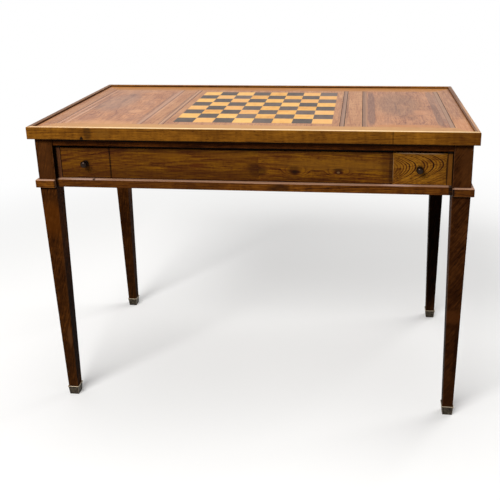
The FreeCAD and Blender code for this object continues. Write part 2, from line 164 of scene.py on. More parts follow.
# Pale matt paper floor. It looks white to the camera and in reflections, sends back less light than it seems
# to, and turns wholly white with distance from the middle.
def makeFloor(settings):
    half = settings["halfSize"]
    mesh = bpy.data.meshes.new("floor")
    mesh.from_pydata([(-half, -half, 0), (half, -half, 0), (half, half, 0), (-half, half, 0)], [], [range(4)])
    floor = bpy.data.objects.new("floor", mesh)
    scene.collection.objects.link(floor)
    paper = bpy.data.materials.new("palePaper")
    add = emptyTree(paper)
    path = add("LightPath").outputs
    seen = add("Math", {0: path["Is Camera Ray"], 1: path["Is Glossy Ray"]}, operation="MAXIMUM")
    reach = add("VectorMath", {0: add("TexCoord").outputs["Object"]}, operation="LENGTH")
    far = add("MapRange", {"Value": reach, "From Min": settings["fade"][0], "From Max": settings["fade"][1]},
              interpolation_type="SMOOTHSTEP")
    colour = add("Mix", {0: seen, 6: settings["bounced"], 7: settings["seen"]}, data_type="RGBA")
    lift = add("Math", {0: seen, 1: settings["lift"]}, operation="MULTIPLY")
    matt = add("BsdfDiffuse", {"Color": colour})
    glow = add("Emission", {"Color": colour, "Strength": lift})
    near = add("AddShader", {0: matt, 1: glow})
    white = add("Emission", {"Color": "FFFFFF", "Strength": seen})
    add("OutputMaterial", {"Surface": add("MixShader", {0: far, 1: near, 2: white})})
    mesh.materials.append(paper)


for lampName, lampSettings in lights.items():
    makeLamp(lampName, **lampSettings)
makeWorld(world)
makeFloor(floorLook)
scene.view_settings.view_transform = "Standard"
print("stage and light made")


# Wood. Lengths are in millimetres in the table's frame, and the grain runs along local X after the turn.
grainTurn = {"x": (0, 0, 0), "y": (0, 0, math.pi / 2), "z": (0, -math.pi / 2, 0)}
plainWood = {
    "turn": grainTurn["x"],
    "palette": ("B8813F", "96602B", "6E421C", "42240F"),  # spring wood, body, summer wood, pores
    "stops": (0.0, 0.38, 0.72, 1.0),
    "tint": "8A4A24",             # a second tone that lies in clouds
    "tintAmount": 0.25,
    "heart": (0, 140, 400),       # a point on the line where the tree's heart ran
    "ringShape": (0, 1, 1),
    "cathedral": False,           # rings as nested parabolas and not as circles
    "lean": (0.03, 0, 0),         # how fast the rings run out along the board
    "ringWidth": 5.0,
    "firstRing": 0,               # the number that the rings are counted from
    "rarity": 2.5,                # a higher power leaves fewer strong rings
    "sway": 7.0,                  # how far the rings wander
    "swaySize": (420, 60, 60),
    "fibreSize": (34, 2.8, 2.8),  # drawn coarser than the true 0.2 mm so that it shows
    "poreSize": (9, 2.2, 2.2),    # likewise
    "figureSize": (11, 40, 40),   # the ripple that crosses the grain
    "patchSize": (170, 55, 55),
    "base": 0.30,
    "ringAmount": 0.42,
    "fibreAmount": 0.62,
    "poreAmount": 0.28,
    "figureAmount": 0.22,
    "patchAmount": 0.35,
    "knots": (),                  # (x, y, z, radius)
    "stains": (),                 # spots and patches
    "stainSway": 0.3,
    "stainStreaks": 0.75,
    "strips": (),                 # (left end, colour) for veneers laid side by side
    "stripAmount": 0.7,
    "cell": None,                 # size of the squares that are cut from different sheets
    "cellAmount": 0.2,
    "worn": "D9A060",             # the colour of a rubbed arris
    "wornAmount": 0.7,
    "roughness": (0.42, 0.58),
    "specular": 0.06,
    "bump": 0.10,
}
growthStops = ((0.0, 0.0), (0.45, 0.15), (0.86, 1.0), (1.0, 0.0))  # a ring darkens slowly and ends sharply
faintest = 0.12                   # how strong the weakest ring is
knotShape = {                     # distances are shares of the knot's radius
    "long": 2.2,                  # along the grain
    "bulge": (3.0, 0.3, 2.6),     # where the rings begin to bend, where they bend most, and by how many rings
    "core": (1.1, 0.35, 0.75),    # where the dark core begins, where it is full, and how dark it is
}
poreRange = (0.58, 0.72)          # the noise between which a pore goes from none to full
cloudRange = (0.35, 0.65)         # likewise for clouds of a second tone
streakRange = (0.3, 0.6, 1.15)    # the fibre's noise where a stain is thinnest and thickest, and how thick
stripReach = 600                  # mm to each side, where the strips' ramp ends
reliefDepth = 0.4 * mm


# Sets a colour ramp to (position, colour) pairs that start at 0 and end at 1 or before it
def setRamp(ramp, pairs, kind="LINEAR"):
    ramp.interpolation = kind
    ramp.elements.remove(ramp.elements[1])
    for index, (position, colour) in enumerate(pairs):
        stop = ramp.elements[0] if index == 0 else ramp.elements.new(position)
        stop.position = position
        stop.color = colour


# Noise of a size along each axis, read at a place
def sizedNoise(add, place, size, detail, **settings):
    at = add("Mapping", {"Vector": place, "Scale": [1 / s for s in size]})
    return add("TexNoise", {"Vector": at, "Scale": 1.0, "Detail": detail, **settings})


# Ring number = (distance from the heart + the lean times the way along) / the ring's width, with a bulge at
# each knot. A cathedral takes the distance squared. Gives the darkness of each ring, weaker or stronger by
# chance, and the darkness of the knots.
def ringTones(add, moved, table, wood):
    across = add("VectorMath", {0: moved, 1: wood["ringShape"]}, operation="MULTIPLY")
    measure = "DOT_PRODUCT" if wood["cathedral"] else "LENGTH"
    radius = add("VectorMath", {0: across, 1: across}, operation=measure)
    leant = add("VectorMath", {0: moved, 1: wood["lean"]}, operation="DOT_PRODUCT")
    rings = add("Math", {0: radius, 1: leant}, operation="ADD")
    rings = add("Math", {0: rings, 1: wood["ringWidth"]}, operation="DIVIDE")
    knotDark = 0.0
    for x, y, z, size in wood["knots"]:
        away = add("Mapping", {"Vector": table, "Location": (x, y, z), "Rotation": wood["turn"],
                               "Scale": (knotShape["long"] * size, size, size)}, vector_type="TEXTURE")
        distance = add("VectorMath", {0: away}, operation="LENGTH")
        start, full, most = knotShape["bulge"]
        bulge = add("MapRange", {"Value": distance, "From Min": start, "From Max": full, "To Max": most},
                    interpolation_type="SMOOTHERSTEP")
        rings = add("Math", {0: rings, 1: bulge}, operation="ADD")
        start, full, most = knotShape["core"]
        core = add("MapRange", {"Value": distance, "From Min": start, "From Max": full, "To Max": most},
                   interpolation_type="SMOOTHSTEP")
        knotDark = add("Math", {0: knotDark, 1: core}, operation="MAXIMUM")
    growth = add("ValToRGB", {"Fac": add("Math", {0: rings}, operation="FRACT")})
    setRamp(growth.color_ramp, [(position, (value,) * 3 + (1,)) for position, value in growthStops])
    number = add("Math", {0: rings}, operation="FLOOR")
    number = add("Math", {0: number, 1: float(wood["firstRing"])}, operation="ADD")
    chance = add("TexWhiteNoise", {"W": number}, noise_dimensions="1D")
    rare = add("Math", {0: chance, 1: wood["rarity"]}, operation="POWER")
    strength = add("MapRange", {"Value": rare, "To Min": faintest})
    return add("Math", {0: growth, 1: strength}, operation="MULTIPLY"), knotDark


playingSurface = 735              # mm, the height of the top's veneers
throughTop = 99                   # mm, deeper than they are


# The settings of a stain: an oval spot of half a size each way, or a patch with straighter sides. A place of
# two numbers is on the top, and the stain goes through the veneers there.
def spot(at, size, colour, amount, soft=0.6, turn=(0, 0, 0), boxy=False):
    if len(at) == 2:
        at = (*at, playingSurface)
        size = (*size, throughTop)
    return dict(at=at, size=size, colour=colour, amount=amount, soft=soft, turn=turn, boxy=boxy)


patch = partial(spot, boxy=True)


# Lays a stain over a colour. It is full from the middle to 1 - soft of its size, fades out at its size, and
# the streaks thin it. A patch measures by the fourth powers, so its squared distance is compared instead.
def stained(add, colour, at, streaks, stain):
    away = add("Mapping", {"Vector": at, "Location": stain["at"], "Rotation": stain["turn"],
                           "Scale": stain["size"]}, vector_type="TEXTURE")
    full = 1 - stain["soft"]
    if stain["boxy"]:
        away = add("VectorMath", {0: away, 1: away}, operation="MULTIPLY")
        full = full ** 2
    distance = add("VectorMath", {0: away}, operation="LENGTH")
    share = add("MapRange", {"Value": distance, "From Min": 1.0, "From Max": full, "To Max": stain["amount"]},
                interpolation_type="SMOOTHSTEP")
    share = add("Math", {0: share, 1: streaks}, operation="MULTIPLY", use_clamp=True)
    return add("Mix", {0: share, 6: colour, 7: stain["colour"]}, data_type="RGBA")


# Darkness = base + rings + pores + knots, and twice the amount of each noise times its way from one half
def woodMaterial(name, **changes):
    wood = {**plainWood, **changes}
    material = bpy.data.materials.new(name)
    add = emptyTree(material)
    table = add("Mapping", {"Vector": add("TexCoord").outputs["Object"], "Scale": (1 / mm,) * 3})
    place = add("Mapping", {"Vector": table, "Location": wood["heart"], "Rotation": wood["turn"]},
                vector_type="TEXTURE")
    # slow wandering of the rings, longer along the grain than across it
    sway = add("VectorMath", {0: sizedNoise(add, place, wood["swaySize"], 2.0).outputs["Color"],
                              1: (2 * wood["sway"],) * 3, 2: (-wood["sway"],) * 3}, operation="MULTIPLY_ADD")
    moved = add("VectorMath", {0: place, 1: sway}, operation="ADD")
    ringDark, knotDark = ringTones(add, moved, table, wood)
    fibre = sizedNoise(add, moved, wood["fibreSize"], 3.0, Roughness=0.6)
    figure = sizedNoise(add, moved, wood["figureSize"], 2.0)
    clouds = sizedNoise(add, place, wood["patchSize"], 3.0)
    noises = [(fibre, wood["fibreAmount"]), (figure, wood["figureAmount"]), (clouds, wood["patchAmount"])]
    if wood["cell"]:   # a cell is taller than the table, so that each square is one sheet
        square = add("VectorMath", {0: table, 1: (wood["cell"], wood["cell"], 1000)}, operation="SNAP")
        clouds = add("TexWhiteNoise", {"Vector": square}, noise_dimensions="3D")
        noises.append((clouds, wood["cellAmount"]))
    dark = add("Math", {0: ringDark, 1: wood["ringAmount"], 2: wood["base"]}, operation="MULTIPLY_ADD")
    for noise, amount in noises:
        centred = add("Math", {0: noise, 1: 0.5}, operation="SUBTRACT")
        dark = add("Math", {0: centred, 1: 2 * amount, 2: dark}, operation="MULTIPLY_ADD")
    pore = add("MapRange", {"Value": sizedNoise(add, place, wood["poreSize"], 1.0), "From Min": poreRange[0],
                            "From Max": poreRange[1]})
    dark = add("Math", {0: pore, 1: wood["poreAmount"], 2: dark}, operation="MULTIPLY_ADD")
    dark = add("Math", {0: dark, 1: knotDark}, operation="ADD")
    tone = add("ValToRGB", {"Fac": dark})
    setRamp(tone.color_ramp, [(stop, hexColour(text)) for stop, text in zip(wood["stops"], wood["palette"])])
    tintShare = add("MapRange", {"Value": clouds.outputs["Color"], "From Min": cloudRange[0],
                                 "From Max": cloudRange[1], "To Max": wood["tintAmount"]})
    colour = add("Mix", {0: tintShare, 6: tone, 7: wood["tint"]}, data_type="RGBA")
    if wood["strips"]:
        along = add("MapRange", {"Value": add("SeparateXYZ", {0: table}).outputs["X"],
                                 "From Min": -stripReach, "From Max": stripReach})
        strip = add("ValToRGB", {"Fac": along})
        setRamp(strip.color_ramp, [((x / stripReach + 1) / 2, hexColour(text)) for x, text in wood["strips"]],
                "CONSTANT")
        colour = add("Mix", {0: wood["stripAmount"], 6: colour, 7: strip}, data_type="RGBA")
    stainAt = add("VectorMath", {0: sway, 1: (wood["stainSway"],) * 3, 2: table}, operation="MULTIPLY_ADD")
    streaks = add("MapRange", {"Value": fibre, "From Min": streakRange[0], "From Max": streakRange[1],
                               "To Min": wood["stainStreaks"], "To Max": streakRange[2]})
    for stain in wood["stains"]:
        colour = stained(add, colour, stainAt, streaks, stain)
    # the eased edges carry how far each point is rubbed
    worn = add("Attribute", attribute_name="worn").outputs["Fac"]
    worn = add("Math", {0: worn, 1: wood["wornAmount"]}, operation="MULTIPLY")
    colour = add("Mix", {0: worn, 6: colour, 7: wood["worn"]}, data_type="RGBA")
    rough = add("MapRange", {"Value": dark, "To Min": wood["roughness"][0], "To Max": wood["roughness"][1]})
    relief = add("Math", {0: fibre, 1: dark}, operation="SUBTRACT")
    bump = add("Bump", {"Height": relief, "Strength": wood["bump"], "Distance": reliefDepth})
    add("OutputMaterial", {"Surface": add("BsdfPrincipled", {
        "Base Color": colour, "Roughness": rough, "Specular IOR Level": wood["specular"], "Normal": bump})})
    return material


# Waxed cherry, planed and rubbed: golden brown with fine streaks, a painted highlight on the top with some
# rubbing, and painted shade with some dust in the inner corners
rimLook = {"palette": ("A46A1C", "7E4D11", "573009", "2C1605"), "tint": "5E3508", "ringWidth": 5.5,
           "ringAmount": 0.35, "fibreAmount": 0.46, "figureSize": (9, 50, 50), "figureAmount": 0.22,
           "patchSize": (70, 40, 40), "patchAmount": 0.45, "worn": "D8A466", "wornAmount": 0.35,
           "stainSway": 0.03}
# painted shade with some dust on the rim's inner faces, where they meet the top
innerGrime = ("2A1206", 0.9, 0.5)
cherryRimFront = woodMaterial("waxedCherryRimFront", **rimLook, heart=(0, -540, 1280), stains=(
    spot((-389, -281, 712), (5, 9, 9), "0A0402", 0.95, 0.5),
    spot((-374, -281, 728), (13, 12, 26), "2A1606", 0.6),
    spot((-338, -281, 726), (26, 12, 16), "84561A", 0.4),
    patch((332, -281, 725), (2.5, 12, 60), "2A1404", 0.5),
    spot((505, -281, 725), (60, 12, 40), "4C2408", 0.5),
    # painted shade along the rim's lower edge
    patch((0, -281, 709), (900, 12, 3.5), "1E0E04", 0.75),
    # painted highlight: the front rim's top face and outer arris drawn pale cream, as lit from above
    patch((0, -276, 743), (900, 30, 3.6), "D4A470", 0.95, 0.2),
    patch((0, -282, 743), (900, 12.5, 3.6), "FFE4B0", 0.97, 0.2),
    spot((-480, -280, 742.5), (260, 12, 4), "D8A47C", 0.7),
))
cherryRimX = woodMaterial("waxedCherryRimAlong", **rimLook, heart=(0, 540, 1280), stains=(
    spot((0, 270, 735), (900, 2.5, 4.6), *innerGrime),
))
cherryRimY = woodMaterial("waxedCherryRimAcross", **{**rimLook, "worn": "9A7A64"}, turn=grainTurn["y"],
                          heart=(800, 0, 1280), stains=(
    # painted sheen: the side rims' tops and arrises greyish brown; a painted highlight along the right rim's
    # outer edge; painted shade along the inner edges and inner faces
    patch((0, 0, 742), (900, 900, 4), "7E5E4A", 0.9, 0.3),
    patch((-517, -140, 742), (5, 160, 4), "5A3C28", 0.5),
    patch((520.5, -130, 742), (5.5, 220, 4), "C09470", 0.75, 0.4),
    patch((513.5, 0, 742), (3, 400, 4), "5E3A24", 0.6),
    spot((-512, 0, 735), (2.5, 600, 4.6), *innerGrime),
    spot((512, 0, 735), (2.5, 600, 4.6), "2A1206", 0.6, 0.5),
))

# Stained cherry, waxed: a browner body with dark drawn-out lines, painted shade under the rail, and a painted
# shadow with some dust round the knobs
# painted shade: the black line under the upper rail, where its overhang shades the quirk
quirkDark = patch((0, -254, 691), (900, 30, 8.4), "040201", 0.98, 0.15)
# painted shade with some dirt along the foot of the apron, above the ledge
ledgeDark = patch((0, -254, 607), (900, 8, 5), "1E0A03", 0.75)
# a painted shadow of the knob, with some dust, on the drawer front round it
knobDark = ((13, 9, 13), "120602", 0.7)
apronLook = {"palette": ("94600F", "6E420F", "4A2208", "1E0A03"), "tint": "5C2608", "ringWidth": 7.5,
             "ringAmount": 0.5, "fibreAmount": 0.78, "rarity": 2.2, "fibreSize": (48, 2.6, 2.6),
             "figureSize": (6, 12, 12), "figureAmount": 0.2, "patchSize": (90, 24, 20)}
cherryApronLeft = woodMaterial("stainedCherryPanelLeft", **apronLook, heart=(60, -640, 300), lean=(0, 0, 0),
                               ringShape=(0.4, 1, 1), stains=(
    patch((-200, -254, 617), (420, 30, 20), "3A1A05", 0.55),
    spot((-200, -254, 645), (420, 30, 60), "4C2606", 0.3),
    # painted shade under the upper rail
    patch((-200, -254, 684), (420, 30, 12), "2E1404", 0.5),
    spot((-190, -254, 668), (60, 20, 9), "80500F", 0.4),
    spot((-40, -254, 668), (70, 20, 9), "7A4C12", 0.4),
    spot((-122, -254, 645), (26, 20, 8), "481406", 0.5),
    spot((-176, -254, 634), (36, 20, 9), "3C1005", 0.5),
    spot((16, -254, 638), (24, 20, 22), "2C0E05", 0.65),
    spot((-395.5, -254, 645), *knobDark),
    patch((-335, -254, 650), (3, 9, 60), "1A0803", 0.7),
    ledgeDark,
    quirkDark,
))
cherryApronRight = woodMaterial("stainedCherryPanelRight", **apronLook, heart=(150, -640, 200),
                                ringShape=(0.2, 1, 1), lean=(0.02, 0, 0),
                                knots=((110, -254, 633, 7), (211, -254, 634, 6)), stains=(
    spot((210, -254, 652), (200, 30, 18), "8A5A1A", 0.45),
    spot((26, -254, 634), (22, 20, 16), "240C04", 0.6),
    spot((109, -254, 633), (7, 20, 5), "120602", 0.9),
    spot((108, -254, 637), (20, 20, 16), "2A1304", 0.5),
    spot((211, -254, 640), (17, 20, 5), "240E05", 0.7),
    spot((211, -254, 634), (5, 20, 3.5), "8C6840", 0.6),
    spot((150, -254, 614), (150, 30, 12), "3A1A05", 0.5),
    spot((323, -254, 650), (22, 20, 60), "3A1A06", 0.45),
    patch((331, -254, 650), (5, 9, 60), "241005", 0.6),
    # painted shade under the upper rail
    patch((160, -254, 684), (260, 30, 10), "341804", 0.45),
    ledgeDark,
    quirkDark,
))
cherryApronBack = woodMaterial("stainedCherryPanelBack", **apronLook, heart=(0, 640, 1060))
cherryApronY = woodMaterial("stainedCherryPanelAcross", **apronLook, turn=grainTurn["y"],
                            heart=(700, 0, 1060))
# the same wood sawn near the tree's middle: nested arcs that open to the left
cherryFigured = woodMaterial("stainedCherryCathedral", **{
    **apronLook, "turn": (0, math.radians(-6.9), 0), "heart": (354, -254, 648.7), "ringShape": (0, 0, 0.2145),
    "cathedral": True, "lean": (1, 0, 0), "ringWidth": 6.85, "firstRing": 21488, "ringAmount": 1.9,
    "rarity": 2.8, "sway": 2.4, "swaySize": (44, 60, 30), "fibreSize": (14, 3, 3), "fibreAmount": 0.5,
    "base": 0.1, "patchSize": (40, 24, 24), "palette": ("AE7620", "7C4C12", "44200A", "100502")}, stains=(
    spot((395.5, -254, 645), *knobDark),
    # painted highlight along the drawer front's top edge
    patch((395, -254, 683.6), (62, 3, 2.6), "C29C7A", 0.85),
    spot((346, -254, 648), (13, 4, 40), "4A2608", 0.25),
    spot((449, -254, 648), (16, 4, 40), "40200A", 0.4),
    # painted highlight along its left edge
    patch((335.0, -254, 646), (1.8, 3, 38), "A07A54", 0.6),
    patch((455.5, -254, 646), (1.5, 3, 38), "2A1206", 0.7),
    # painted shade along its foot, above the ledge
    patch((395, -254, 607), (62, 3, 4), "1E0A03", 0.6),
))
# Waxed cherry rails: a warm brown with a painted sheen and some rubbing on the ledge, and painted shade in
# the corners
railLook = {"palette": ("905818", "6C3C0C", "421F05", "1A0902"), "tint": "542908", "ringWidth": 5,
            "ringAmount": 0.5, "fibreAmount": 0.75, "worn": "C89A7C", "wornAmount": 0.8}
# painted sheen with some rubbing on the pale top faces of the lower rails and collars
ledgePale = patch((0, 0, 610), (900, 600, 3.6), "B68E74", 0.77, 0.3)
railStains = (
    patch((-290, -265, 597), (260, 12, 30), "3A1A05", 0.5),
    spot((72, -265, 597), (34, 12, 13), "1E0B03", 0.65),
    patch((0, -265, 605), (900, 3, 2), "4E2A10", 0.3),
    ledgePale,
    # painted highlights on the ledge
    spot((350, -262, 609), (60, 12, 3), "D8B4A4", 0.7),
    spot((-400, -262, 609), (70, 12, 3), "C8A898", 0.6),
    spot((-376, -262, 609), (5, 10, 4), "140803", 0.9),
    # painted shade where the rail meets the legs
    patch((467, -265, 598), (7, 14, 22), "0A0402", 0.9),
    patch((-468, -265, 598), (5, 14, 22), "0A0402", 0.9),
)
cherryRailX = woodMaterial("waxedCherryRailAlong", **railLook, heart=(0, -480, 900), stains=railStains)
cherryRailY = woodMaterial("waxedCherryRailAcross", **railLook, turn=grainTurn["y"], heart=(700, 0, 900),
                           stains=(ledgePale,))
# the rails under the top: the rail wood painted darker for the shade under the top's overhang
darkRailLook = {**railLook, "palette": ("68360F", "462207", "2E1204", "0E0401"), "tint": "341504",
                "specular": 0.03}
rimShade = patch((0, 0, 710), (900, 600, 9), "040201", 0.9, 0.4)
darkRailX = woodMaterial("darkWaxedRailAlong", **darkRailLook, heart=(0, -480, 900), stains=(rimShade,))
darkRailY = woodMaterial("darkWaxedRailAcross", **darkRailLook, turn=grainTurn["y"], heart=(700, 0, 900),
                         stains=(rimShade,))
cherryStiles = woodMaterial("waxedCherryStiles", **railLook, turn=grainTurn["z"], heart=(0, -400, 640),
                            strips=((-600, "4C3026"), (0, "784C1A")), stripAmount=0.6, stains=(
    patch((-457, -254, 650), (2.5, 9, 60), "160703", 0.8),
    patch((457, -254, 650), (2.5, 9, 60), "2A1206", 0.7),
    # painted shade in the corners beside the legs
    patch((-469, -254, 650), (3, 9, 60), "080301", 0.9),
    patch((469.5, -254, 650), (2.6, 9, 60), "140803", 0.85),
    quirkDark,
))
cherryCollar = woodMaterial("waxedCherryCollar", **railLook, heart=(0, -480, 900), stains=(
    patch((495, -276, 598), (40, 60, 30), "3A1C08", 0.33),
    spot((517, -276, 598), (10, 12, 30), "2A1204", 0.5),
    ledgePale,
    # painted shade where the collars meet the rails
    patch((469, -272, 598), (6, 12, 22), "080301", 0.9),
    patch((-467, -272, 598), (7, 10, 22), "080301", 0.8),
))

# Legs: square above the lower rails and tapering below them, with arrises that are rubbed more in some places
leg = {
    "centre": (490, 248),
    "heights": (2, 25, 588, 718),
    "halfSizes": (10.5, 13, 21, 21),
    "rows": 80,
    "arris": 1.1,
    "rubbed": 1.1,
}
corners = {"front_left": (-1, -1), "front_right": (1, -1), "back_left": (-1, 1), "back_right": (1, 1)}

# Stained and waxed cherry, each leg sawn from its own billet: dark reddish brown with slanting streaks, and
# painted shade on some of the inner faces and in the corners beside the rails
legLook = {"tint": "341707", "ringWidth": 8.0, "ringAmount": 0.25, "fibreAmount": 0.6, "worn": "7A5236",
           "wornAmount": 0.45, "fibreSize": (26, 2.8, 2.8), "specular": 0.007}
legWarm = ("724218", "48260C", "281306", "0C0502")
legDark = ("563013", "381C0A", "200D04", "0A0402")
# slant: degrees that the streaks lean. low: how dark the tapering part is. glow: how far off the middle a
# warmer patch lies at the head. grimy: the faces darkened by painted shade, as axis, side, lower end, upper
# end and amount. marks: more stains.
legBillets = {
    "front_left": {
        "heart": (-560, -300, 640), "palette": legWarm, "slant": 16, "low": 0.4, "glow": 0,
        "grimy": (("x", 1, 0, 355, 0.75),),
        "marks": (spot((-490, -268, 505), (60, 20, 62), "6A3608", 0.4),
                  spot((-482, -262, 175), (8, 20, 40), "6A4426", 0.45)),
    },
    "front_right": {
        "heart": (430, -330, 700), "palette": legDark, "slant": 34, "low": 0.1, "glow": 14,
        "grimy": (("x", -1, 0, 350, 0.75),),
        "marks": (patch((500, -260, 180), (6, 30, 90), "120804", 0.5),
                  spot((488, -262, 278), (30, 20, 26), "5E3214", 0.4)),
    },
    "back_left": {
        "heart": (-540, 180, 640), "palette": legWarm, "slant": 8, "low": 0.5, "glow": 0,
        "grimy": (("x", 1, 0, 400, 0.6),), "marks": (),
    },
    "back_right": {
        "heart": (560, 190, 640), "palette": legDark, "slant": 12, "low": 0.3, "glow": 0,
        "grimy": (("y", -1, 0, 470, 0.85), ("x", -1, 0, 470, 0.85)), "marks": (),
    },
}
# painted shade on a leg's darkened faces: its colour, how far out its middle lies, reach, width and share of
# the height
legGrime = {"colour": "070302", "out": 10, "reach": 11.5, "across": 60, "along": 0.62}


# A boxy patch of painted shade on one face of a tapering leg. Its middle lies out from the face by less than
# its reach, so that it goes a little into the wood, and it leans with the face by the taper: the change of
# half size over the height.
def faceStain(sides, axis, side, low, high, amount):
    middle = np.array((*np.array(leg["centre"]) * sides, (low + high) / 2), float)
    along = "xy".index(axis)
    middle[along] += side * (np.interp(middle[2], leg["heights"], leg["halfSizes"]) + legGrime["out"])
    size = [legGrime["across"], legGrime["across"], (high - low) * legGrime["along"]]
    size[along] = legGrime["reach"]
    foot, head = leg["halfSizes"][1:3]
    taper = side * (head - foot) / (leg["heights"][2] - leg["heights"][1])
    turn = (0, taper, 0) if axis == "x" else (-taper, 0, 0)
    return patch(tuple(middle), tuple(size), legGrime["colour"], amount, 0.1, turn)


legWoods = {}
for corner, billet in legBillets.items():
    sides = corners[corner]
    x, y = np.array(leg["centre"]) * sides
    legWoods[corner] = woodMaterial("stainedCherryLeg_" + corner, **legLook, heart=billet["heart"],
                                    palette=billet["palette"],
                                    turn=(0, math.radians(billet["slant"] - 90), 0), stains=(
        spot((x, y, 200), (60, 60, 260), "241107", billet["low"]),
        patch((x + billet["glow"], -270, 655), (22, 12, 70), "5E3618", 0.4),
        spot((x, 0, 30), (60, 400, 240), "301D10", 0.45),
        # painted shade on the front legs' inner faces beside the stiles
        patch((sides[0] * 468.5, -257, 650), (3.5, 13, 70), "040201", 0.95, 0.3),
        # painted shade just under the collars and lower rails
        patch((x, y, 588), (60, 60, 6), "140A05", 0.7),
        *(faceStain(sides, *face) for face in billet["grimy"]),
        *billet["marks"],
    ))

# Polished cherry veneer: pinkish brown under a clear polish
veneerLook = {"palette": ("C4895C", "AE7650", "8E5C42", "644034"), "tint": "8C6658", "specular": 0.09,
              "roughness": (0.36, 0.46), "ringAmount": 0.35, "ringWidth": 9.0, "fibreSize": (55, 3.4, 3.4),
              "fibreAmount": 0.8, "figureSize": (12, 30, 30), "figureAmount": 0.3, "poreSize": (16, 3, 3),
              "base": 0.30, "bump": 0.04, "rarity": 3.0}
# painted shade with some dust on the top, along the foot of the rim
edgeGrime = (
    spot((-512, 0, 735), (4, 600, 9), "4A2818", 0.6),
    spot((512, 0, 735), (3, 600, 9), "4A2818", 0.4),
    spot((0, 270, 735), (900, 4, 9), "4A2818", 0.6),
)
fieldLook = {**veneerLook, "turn": grainTurn["y"], "sway": 12, "swaySize": (90, 40, 40), "tintAmount": 0.4,
             "patchSize": (80, 34, 34), "patchAmount": 0.38, "stainSway": 0.1, "stainStreaks": 0.8}
cherryFieldLeft = woodMaterial("polishedCherryFieldLeft", **fieldLook, heart=(-600, 0, 1400), stains=(
    spot((-405, 40), (64, 160), "8E7264", 0.5),
    spot((-398, 60), (7, 34), "6E5448", 0.4),
    spot((-400, 142), (9, 24), "6E5448", 0.4),
    spot((-436, -30), (12, 40), "6E5448", 0.4),
    spot((-322, -75), (26, 26), "D29A6E", 0.55),
    spot((-369, -228), (140, 60), "CC935F", 0.6),
    spot((-405, 200), (80, 60), "BC8C6A", 0.4),
    patch((-455, -110), (3.4, 120), "CA9E82", 0.6, 0.3),
    patch((-459.5, 0), (2.4, 225), "6E5044", 0.5),
    patch((-447, 0), (2.4, 225), "6E5044", 0.6),
    patch((-282, 0), (4.6, 225), "6E4E42", 0.5),
    patch((-275.2, 0), (1.8, 225), "CA9C80", 0.6, 0.3),
))
cherryFieldRight = woodMaterial("polishedCherryFieldRight", **fieldLook, heart=(600, 0, 1400), stains=(
    spot((355, 40), (90, 210), "7E5E4A", 0.5),
    spot((349, 10), (4, 70), "6A4A3C", 0.6),
    spot((356, -60), (4, 50), "6A4A3C", 0.5),
    spot((386, -126), (14, 26), "6A4A3C", 0.35),
    spot((407, -61), (24, 40), "C88C62", 0.5),
    patch((286, 0), (10.5, 226), "7A5646", 0.8, 0.25),
    patch((447, -90), (9, 150), "765444", 0.75, 0.3),
    patch((447, 110), (9, 120), "866452", 0.6, 0.3),
    patch((459, 0), (4.5, 226), "927260", 0.6, 0.4),
    spot((369, -232), (120, 44), "B87C46", 0.8),
    patch((369, -205), (88, 12), "B67A4A", 0.75, 0.3),
))
borderLook = {**veneerLook, "palette": ("CA9260", "B0784C", "8C5A3A", "603C2C"), "tint": "A06848"}
cherryBorderX = woodMaterial("polishedCherryBorderAlong", **borderLook, heart=(0, -800, 1400), stains=(
    spot((0, -244), (760, 60), "C08E54", 0.75),
    patch((0, 244), (900, 60), "A86C2A", 0.85),
    *edgeGrime,
))
cherryBorderY = woodMaterial("polishedCherryBorderAcross", **borderLook, turn=grainTurn["y"],
                             heart=(0, 0, 1400), stains=(
    spot((-492, 0), (30, 400), "9A6E54", 0.5),
    patch((-475.6, 0), (3.0, 225), "5E4034", 0.75),
    spot((492, 60), (30, 300), "8E6450", 0.5),
    spot((494, -190), (24, 100), "C48458", 0.5),
    *edgeGrime,
))
calmLook = {**borderLook, "palette": ("C89568", "B07B54", "8C5B42", "623C2E"), "tint": "9A6648",
            "turn": grainTurn["y"], "ringAmount": 0.2, "fibreAmount": 0.45, "figureAmount": 0.2,
            "patchAmount": 0.25}
cherryMargin = woodMaterial("polishedCherryMargin", **calmLook, heart=(60, 0, 1400), stains=(
    patch((208, 0), (1.8, 225), "7A5644", 0.4),
))
cherryFrieze = woodMaterial("polishedCherryFrieze", **calmLook, heart=(0, 0, 1400), stains=(
    patch((-225.5, 0), (2.4, 225), "7A5644", 0.75),
    patch((-259.5, 0), (3, 225), "D0A084", 0.35, 0.3),
    patch((225.5, 0), (2.4, 225), "7A5644", 0.6),
))
# Walnut and cherry bands between the lines: each strip has its own tone
bandLook = {**veneerLook, "ringAmount": 0.2, "fibreAmount": 0.45, "patchAmount": 0.2}
banding = woodMaterial("polishedBanding", **bandLook, turn=grainTurn["y"], heart=(0, 0, 1400),
                       stripAmount=0.8, strips=(
    (-600, "B48468"), (-400, "B08870"), (-271.5, "805E4C"), (-240, "B89072"), (-216, "946C58"), (0, "80604E"),
    (214, "8E705E"), (219, "785C4C"), (240, "7A5A46"), (268.6, "AC8060"), (400, "94745E")))
# Dyed walnut lines: dark brown, and paler in some strips
lineLook = {**veneerLook, "specular": 0.02, "palette": ("4A342A", "38241C", "241410", "160A08")}
lines = woodMaterial("dyedWalnutLines", **lineLook, turn=grainTurn["y"], heart=(0, 0, 1400),
                     stripAmount=0.85, strips=(
    (-600, "36201A"), (-470, "86624E"), (-300, "B08A74"), (-268, "8A6654"), (-240, "6A4A3C"),
    (-216, "3E261E"), (0, "3A241C"), (216, "0E0604"), (240, "120705"), (268, "9A745E"), (400, "8C6A58"),
    (470, "160A06")))
